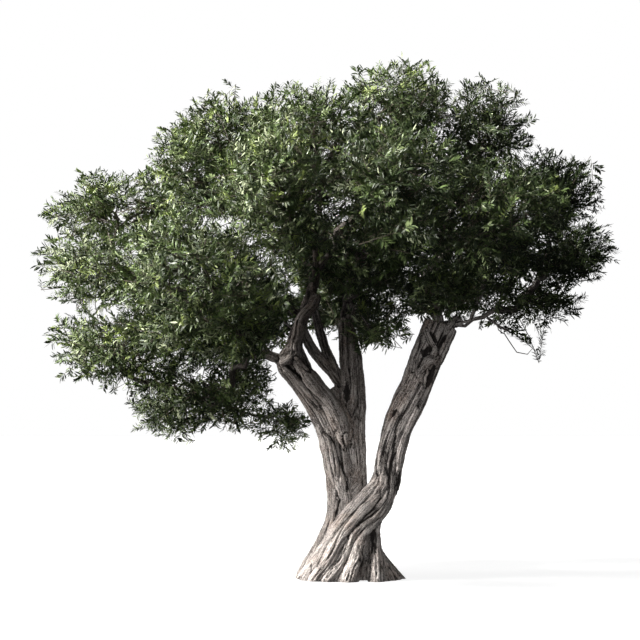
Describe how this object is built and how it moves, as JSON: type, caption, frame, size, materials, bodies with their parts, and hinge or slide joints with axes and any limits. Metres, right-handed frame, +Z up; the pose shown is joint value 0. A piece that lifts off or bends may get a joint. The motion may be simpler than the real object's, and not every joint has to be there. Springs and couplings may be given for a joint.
{
  "type": "olive tree",
  "caption": "Old olive tree with a flared, twisted foot, two forking stems and a wide, lobed evergreen crown of narrow grey-green leaves.",
  "frame": {"origin": "centre of the flat cut under the trunk, at ground level", "axes": "+Z up, +X to the tree's right as seen from its front, -Y to its front, where the fork between the two stems opens"},
  "size_m": [5.8817, 4.4342, 5.1782],
  "materials": {
    "bark": "rough, furrowed grey-brown olive bark",
    "foliage": "matt grey-green leaves, paler beneath"
  },
  "bodies": {
    "root": {"trunk": "bark", "main_stem": "bark", "right_limb": "bark", "centre_limb": "bark", "left_limb": "bark", "left_upper_limb": "bark", "left_outer_bough": "bark", "inner_bough_left": "bark", "inner_bough_right": "bark", "right_bough": "bark", "right_upper_limb": "bark", "low_right_branch": "bark", "centre_front": "foliage", "centre_top": "foliage", "crown_heart": "foliage", "crown_top": "foliage", "hanging_tuft": "foliage", "left_back": "foliage", "left_far": "foliage", "left_far_high": "foliage", "left_front": "foliage", "left_hanging_tip": "foliage", "left_heart": "foliage", "left_low_outer": "foliage", "left_shoulder": "foliage", "left_skirt": "foliage", "low_right_spray": "foliage", "middle_back": "foliage", "middle_front": "foliage", "right_back": "foliage", "right_far": "foliage", "right_front": "foliage", "right_high": "foliage", "right_low": "foliage", "right_top": "foliage", "top_back": "foliage", "under_right": "foliage", "upper_left": "foliage"}
  },
  "joints": []
}
